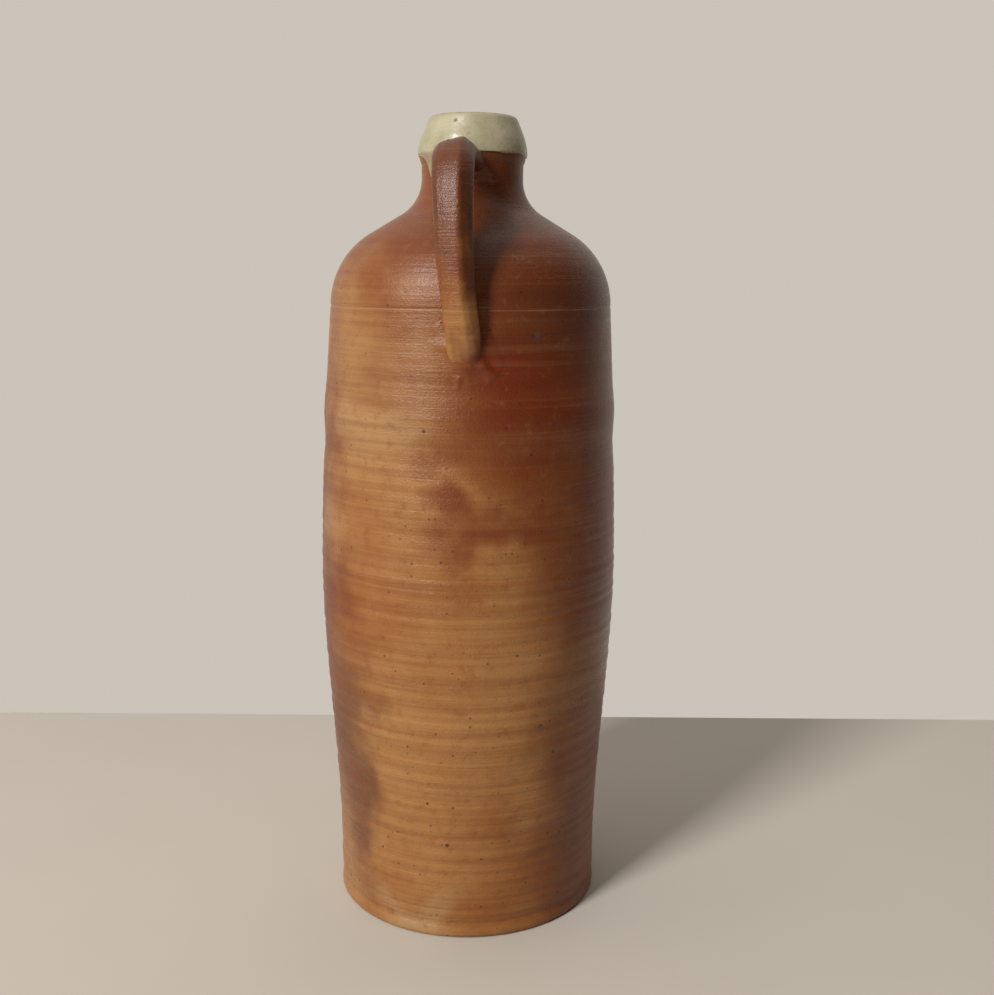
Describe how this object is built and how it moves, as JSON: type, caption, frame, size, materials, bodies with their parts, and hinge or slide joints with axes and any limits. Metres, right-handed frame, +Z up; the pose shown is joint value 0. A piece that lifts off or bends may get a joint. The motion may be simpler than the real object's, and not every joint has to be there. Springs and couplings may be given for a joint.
{
  "type": "handled stoneware bottle",
  "caption": "Round thrown stoneware bottle with a rounded shoulder, short neck, glazed collar and a pulled strap handle, for holding and pouring drink.",
  "frame": {"origin": "middle of the foot, on the surface that the bottle stands on", "axes": "+Z up along the bottle's axis to the mouth, -Y towards the handle, +X to the right of someone facing the handle"},
  "size_m": [0.107, 0.1114, 0.28],
  "materials": {
    "fired_clay": "orange-brown vapour-glazed stoneware with throwing lines, flashes and iron specks",
    "pale_glaze": "thick pale green-white glaze with brown specks"
  },
  "bodies": {
    "root": {"foot": "fired_clay", "body_wall": "fired_clay", "shoulder": "fired_clay", "neck": "fired_clay", "collar": "fired_clay", "collar_glaze": "pale_glaze", "handle": "fired_clay", "upper_lute": "fired_clay", "lower_lute": "fired_clay"}
  },
  "joints": []
}
